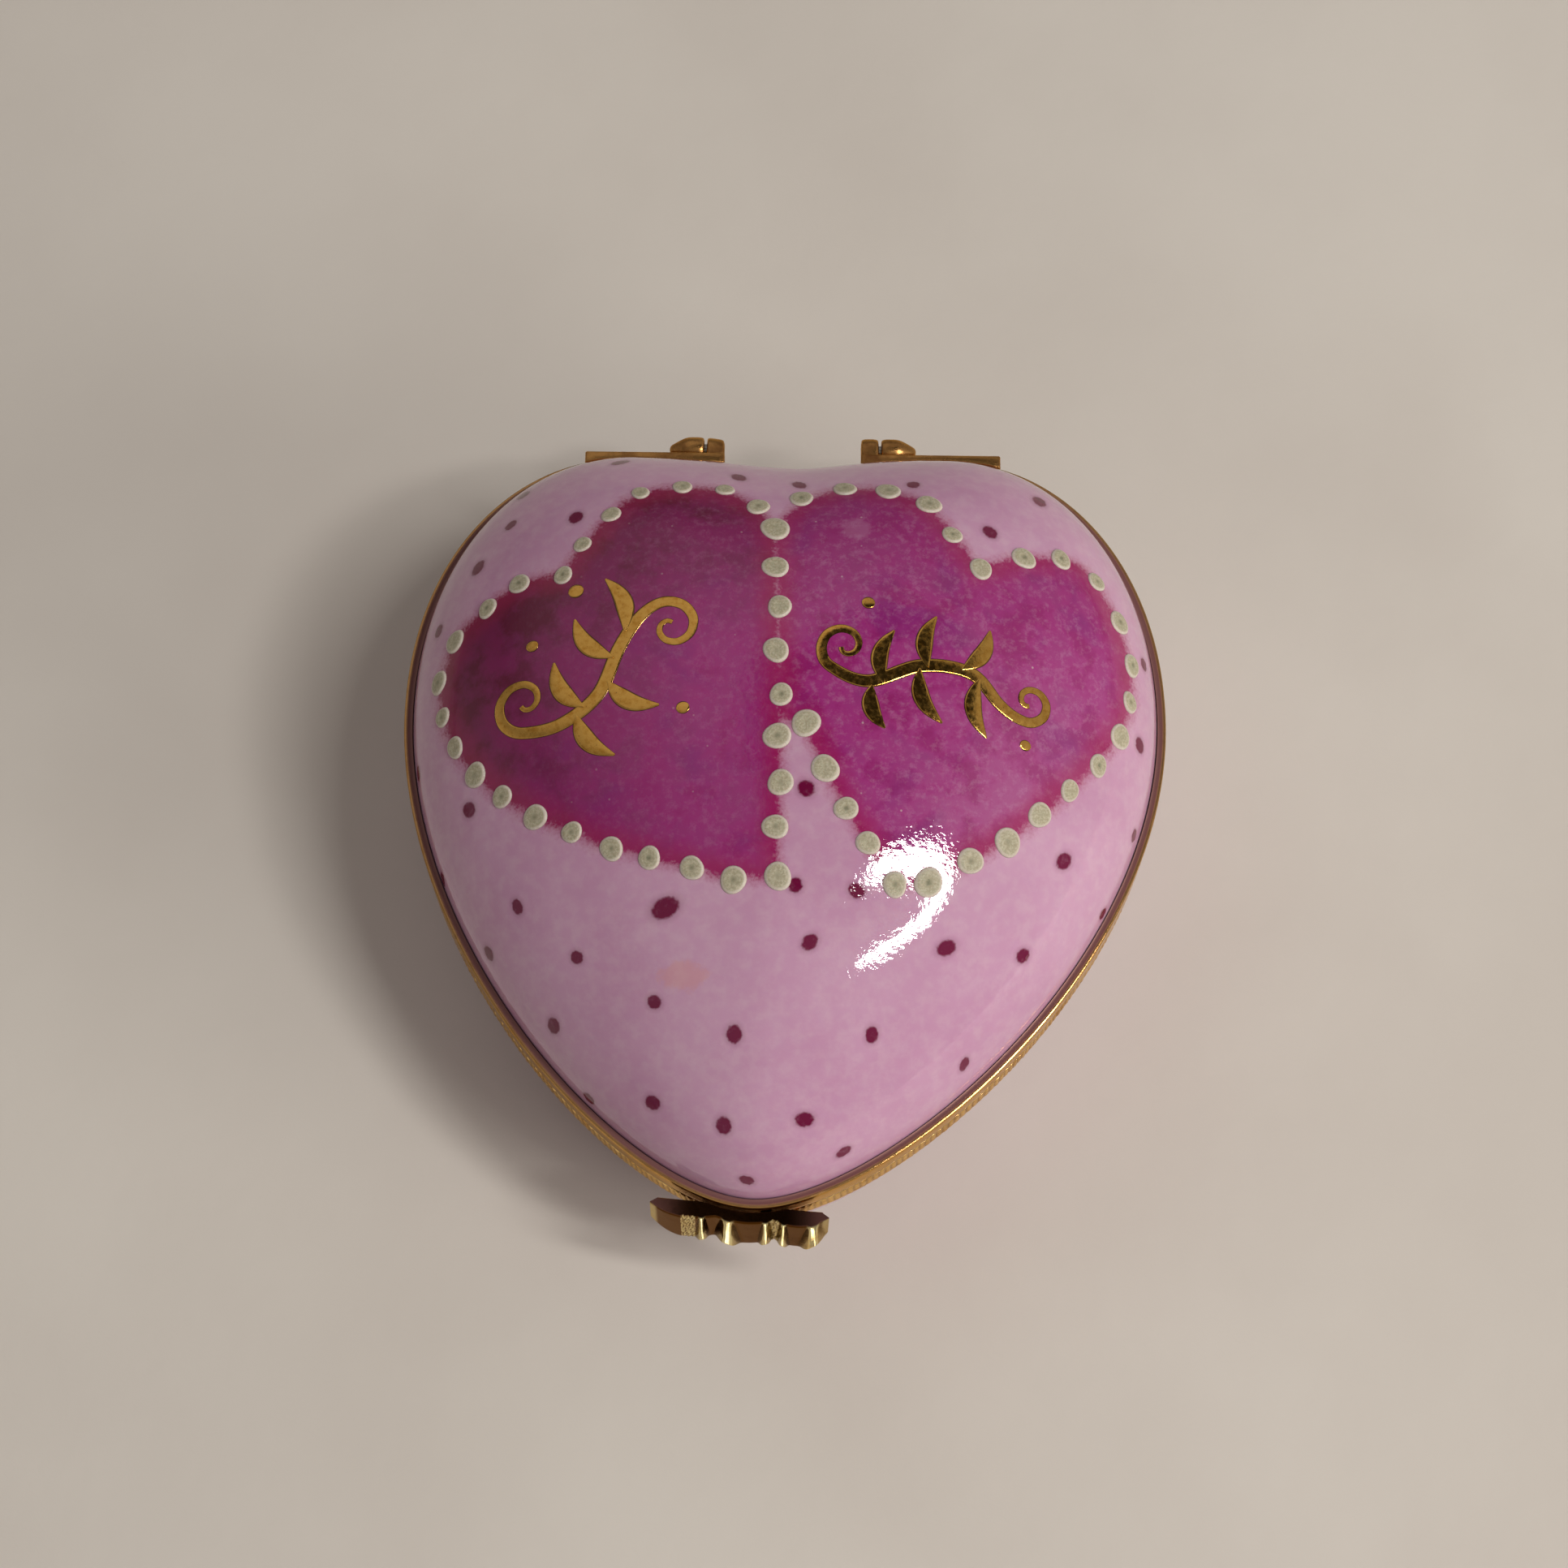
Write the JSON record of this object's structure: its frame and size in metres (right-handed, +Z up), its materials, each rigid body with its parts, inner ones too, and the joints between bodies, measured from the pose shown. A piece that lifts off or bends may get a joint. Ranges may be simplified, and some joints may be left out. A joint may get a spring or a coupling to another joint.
{
  "type": "heart-shaped trinket box",
  "caption": "Heart-shaped porcelain trinket box with a domed painted lid, brass bezels, a back hinge and a scalloped front clasp.",
  "frame": {"origin": "centre line of the flat resting face under the base", "axes": "+Z up, -Y towards the tip and the clasp, +Y towards the hinge, +X to the right seen from the clasp"},
  "size_m": [0.0508, 0.056, 0.0269],
  "materials": {
    "lid_glaze": "glossy lilac-pink glaze with painted fuchsia heart panels",
    "base_glaze": "glossy lilac-pink glaze, unglazed resting face",
    "brass": "polished and lightly worn",
    "cement": "matte off-white cement",
    "pin_steel": "drawn wire"
  },
  "bodies": {
    "base": {"porcelain_base": "base_glaze", "base_bezel": "brass", "base_bedding_ring": "cement", "base_hinge_strip_left": "brass", "base_hinge_strip_right": "brass", "base_knuckle_left": "brass", "base_knuckle_right": "brass", "hinge_pin_left": "pin_steel", "hinge_pin_right": "pin_steel", "catch_bead": "brass"},
    "lid": {"porcelain_lid": "lid_glaze", "lid_bezel": "brass", "lid_bedding_ring": "cement", "lid_hinge_strip_left": "brass", "lid_hinge_strip_right": "brass", "lid_knuckle_left": "brass", "lid_knuckle_right": "brass", "clasp_ornament": "brass"}
  },
  "joints": [
    {"name": "lid_hinge", "type": "hinge", "parent": "base", "child": "lid", "pos_m": [0, 0.02632, 0.013], "axis": [-1, 0, 0], "range_deg": [0, 100]}
  ]
}
